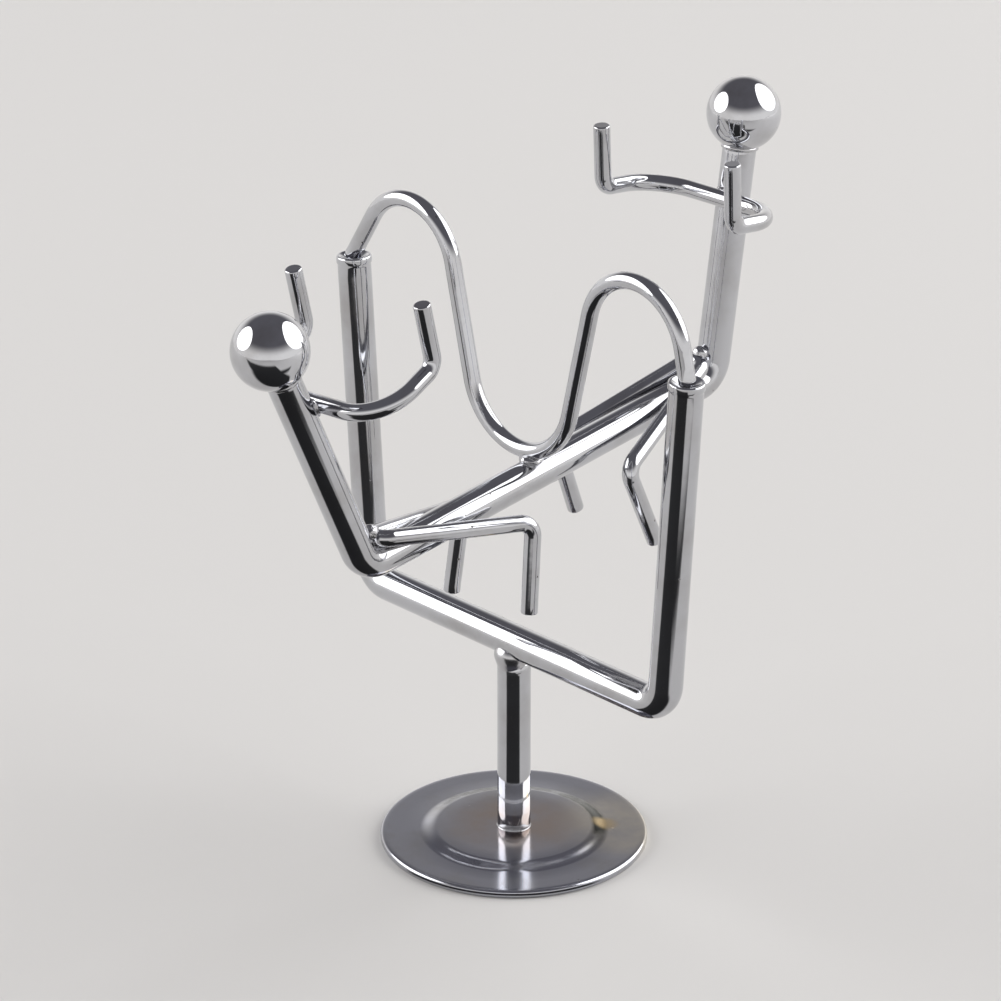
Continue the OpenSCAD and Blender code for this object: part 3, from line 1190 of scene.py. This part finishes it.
@dataclass(frozen=True)
class Softbox:
    """An oval studio lamp behind cloth."""

    name: str
    # degrees round from the camera, and up
    turn: float
    elevation: float
    distance: float
    width: float
    height: float
    watts: float
    # a lamp that only lights the floor doesn't show in the chrome
    mirrored: bool = True

    def place(self, aim: Vector, azimuth: float) -> None:
        """Hangs the lamp and points it.

        Args:
            aim: the point that it faces.
            azimuth: the camera's degrees round the toy.
        """
        lamp = bpy.data.lights.new(self.name, "AREA")
        lamp.shape = "ELLIPSE"
        lamp.size, lamp.size_y, lamp.energy = self.width, self.height, self.watts
        made = bpy.data.objects.new(self.name, lamp)
        made.visible_glossy = self.mirrored
        out = outward(azimuth + self.turn, self.elevation)
        made.location = aim + out * self.distance
        made.rotation_euler = out.to_track_quat("Z", "Y").to_euler()
        bpy.context.scene.collection.objects.link(made)


SOFTBOXES = (
    Softbox("softbox_left", -97, 26, distance=1.7, width=1.87, height=1.44, watts=19.5),
    Softbox("softbox_right", 106, 33, distance=1.7, width=2.5, height=1.85, watts=30.0),
    Softbox("softbox_top", 150, 75, 1.6, width=1.0, height=1.0, watts=1.5, mirrored=False),
)


@dataclass(frozen=True)
class Wedge:
    """A patch of floor that widens forwards from an apex before the toy, with soft sides."""

    apex: float
    # degrees to each side, where it is full and where it has gone
    left: Pair
    right: Pair

    def value(self, tree: Tree, across: Socket, ahead: Socket) -> Socket:
        """Gives how much of the wedge there is.

        Args:
            tree: the flag's tree.
            across: distance to the right of the toy.
            ahead: distance before the toy.

        Returns:
            A value of 1 in the wedge and 0 outside.
        """
        slant = maths(tree, "DIVIDE", across, maths(tree, "SUBTRACT", ahead, self.apex))
        sides = []
        for full, gone in (self.left, self.right):
            span = (math.tan(math.radians(full)), math.tan(math.radians(gone)))
            sides.append(fade(tree, slant, span))
        return maths(tree, "MULTIPLY", *sides)


@dataclass(frozen=True)
class Flag:
    """Black cloth on the floor before the toy, which gives upright chrome its dark middle.

    The camera doesn't see it. A slim wedge from the base shows in the post and the upper rods, and
    a broad one further out in the lower rods and the balls. Pairs say where an edge is full and
    where it has gone.
    """

    colour: str = "141416"
    roughness: float = 0.9
    near: float = 0.012
    far: float = 0.34
    thins_from: float = 0.22
    lift: float = 0.0005
    # degrees to each side that the cloth reaches
    spread: float = 72.0
    slim: Wedge = Wedge(0.0, (-46, -56), (32, 44))
    slim_right: Pair = (0.030, 0.048)
    broad: Wedge = Wedge(0.06, (-64, -72), (64, 72))
    broad_start: Pair = (0.11, 0.07)
    broad_end: Pair = (0.13, 0.18)
    # how much nearer the broad wedge ends, for each unit further to the right
    broad_slope: float = 0.35

    def middle(self) -> float:
        """Gives the distance from the toy to the middle of the cloth."""
        return (self.near + self.far) / 2

    def size(self) -> Pair:
        """Gives the width and depth of the cloth."""
        return 2 * self.far * math.tan(math.radians(self.spread)), self.far - self.near

    def cloth(self) -> bpy.types.Material:
        """Makes the cloth, clear outside its wedges.

        Returns:
            The material.
        """
        made = matt("black_flag_cloth", self.colour, self.roughness)
        tree = made.node_tree
        axes = add_node(tree, "ShaderNodeSeparateXYZ", {}, {0: object_place(tree)}).outputs
        across, ahead = axes[0], maths(tree, "MULTIPLY_ADD", axes[1], -1.0, self.middle())
        askew = maths(tree, "MULTIPLY_ADD", across, self.broad_slope, ahead)
        slim = self.slim.value(tree, across, ahead)
        slim = maths(tree, "MULTIPLY", slim, fade(tree, across, self.slim_right))
        broad = self.broad.value(tree, across, ahead)
        for along, edge in ((ahead, self.broad_start), (askew, self.broad_end)):
            broad = maths(tree, "MULTIPLY", broad, fade(tree, along, edge))
        both = maths(tree, "MAXIMUM", slim, broad)
        thick = maths(tree, "MULTIPLY", both, fade(tree, ahead, (self.thins_from, self.far)))
        clear = add_node(tree, "ShaderNodeBsdfTransparent").outputs[0]
        dark = tree.nodes["Principled BSDF"].outputs[0]
        mixed = add_node(tree, "ShaderNodeMixShader", {}, {0: thick, 1: clear, 2: dark})
        tree.links.new(mixed.outputs[0], tree.nodes["Material Output"].inputs["Surface"])
        return made


def matt(name: str, code: str, roughness: float) -> bpy.types.Material:
    """Makes a plain matt material.

    Args:
        name: the material's name.
        code: its sRGB hex colour.
        roughness: its roughness.

    Returns:
        The material.
    """
    made = bpy.data.materials.new(name)
    made.use_nodes = True
    shader = made.node_tree.nodes["Principled BSDF"]
    shader.inputs["Base Color"].default_value = linear(code)
    shader.inputs["Roughness"].default_value = roughness
    return made


@dataclass
class Studio:
    """Pale floor, soft lamps, a dark flag that gives the chrome its edges, and the camera."""

    azimuth: float = -43.27
    elevation: float = 23.39
    distance: float = 0.67164
    focal_px: float = 4619.03
    image_px: float = 1001.0
    right_px: float = 13.80
    up_px: float = -1.34
    sensor_mm: float = 36.0
    aim: Vector = field(default_factory=lambda: Vector((0, 0, 0.055)))
    floor_size: float = 2.0
    wall: str = "FFFDFB"
    ceiling: str = "68676D"
    # heights in the room's sphere between which the walls turn into the ceiling
    ceiling_span: Pair = (0.10, 0.60)

    def build(self) -> None:
        """Sets up the scene round the toy."""
        bpy.context.scene.view_settings.view_transform = "Standard"
        self.camera()
        self.floor()
        self.flag(Flag())
        self.world()
        for lamp in SOFTBOXES:
            lamp.place(self.aim, self.azimuth)

    def camera(self) -> None:
        """Puts the camera where the photograph was taken."""
        back = outward(self.azimuth, self.elevation)
        right = outward(self.azimuth + 90, 0)
        up = back.cross(right)
        pixel = self.distance / self.focal_px
        spot = self.aim + back * self.distance
        spot += up * (self.up_px * pixel) - right * (self.right_px * pixel)
        lens = bpy.data.cameras.new("photo_camera")
        lens.sensor_width = self.sensor_mm
        lens.lens = self.focal_px * self.sensor_mm / self.image_px
        lens.clip_start, lens.clip_end = 0.01, 20.0
        made = bpy.data.objects.new("photo_camera", lens)
        turn = Matrix((right, up, back)).transposed().to_4x4()
        made.matrix_world = Matrix.Translation(spot) @ turn
        bpy.context.scene.collection.objects.link(made)
        bpy.context.scene.camera = made

    def floor(self) -> None:
        """Lays a plain pale floor."""
        paint = matt("matt_floor_paint", "DEDCD9", 0.8)
        self.card("floor", paint, Matrix.Identity(4), (self.floor_size, self.floor_size))

    def flag(self, flag: Flag) -> None:
        """Lays the flag, which shows only in the chrome.

        Args:
            flag: its sizes.
        """
        spot = outward(self.azimuth, 0) * flag.middle() + UPWARD * flag.lift
        turn = Matrix.Rotation(math.radians(self.azimuth), 4, "Z")
        made = self.card("dark_flag", flag.cloth(), Matrix.Translation(spot) @ turn, flag.size())
        made.visible_camera = False
        made.visible_diffuse = False
        made.visible_shadow = False

    def card(
        self, name: str, paint: bpy.types.Material, place: Matrix, size: Pair
    ) -> bpy.types.Object:
        """Makes a flat card that isn't part of the toy.

        Args:
            name: the card's name.
            paint: its material.
            place: its middle, with its Z square to it.
            size: its width along X and depth along Y.

        Returns:
            The card.
        """
        bm = bmesh.new()
        for x, y in ((-1, -1), (1, -1), (1, 1), (-1, 1)):
            bm.verts.new(Vector((x * size[0] / 2, y * size[1] / 2, 0)))
        bm.faces.new(bm.verts)
        mesh = bpy.data.meshes.new(name)
        bm.to_mesh(mesh)
        bm.free()
        made = bpy.data.objects.new(name, mesh)
        made.matrix_world = place
        bpy.context.scene.collection.objects.link(made)
        made.data.materials.append(paint)
        return made

    def world(self) -> None:
        """Fills the room with soft light from pale walls under a dark ceiling."""
        sky = bpy.data.worlds.new("soft_grey_room")
        bpy.context.scene.world = sky
        sky.use_nodes = True
        tree = sky.node_tree
        place = add_node(tree, "ShaderNodeTexCoord").outputs["Generated"]
        axes = add_node(tree, "ShaderNodeSeparateXYZ", {}, {0: place}).outputs
        up = ramp(tree, axes[2], self.ceiling_span, kind="SMOOTHSTEP")
        tone = tint(tree, up, linear(self.wall), linear(self.ceiling))
        tree.links.new(tone, tree.nodes["Background"].inputs["Color"])


def main() -> None:
    """Builds the toy and its studio, and reports each piece."""
    logging.basicConfig(level=logging.INFO, format="%(name)s: %(message)s")
    stock = Stock()
    Studio().build()
    Stand(stock).build()
    Rocker(stock, Hanger(stock)).build()


if __name__ == "__main__":
    main()
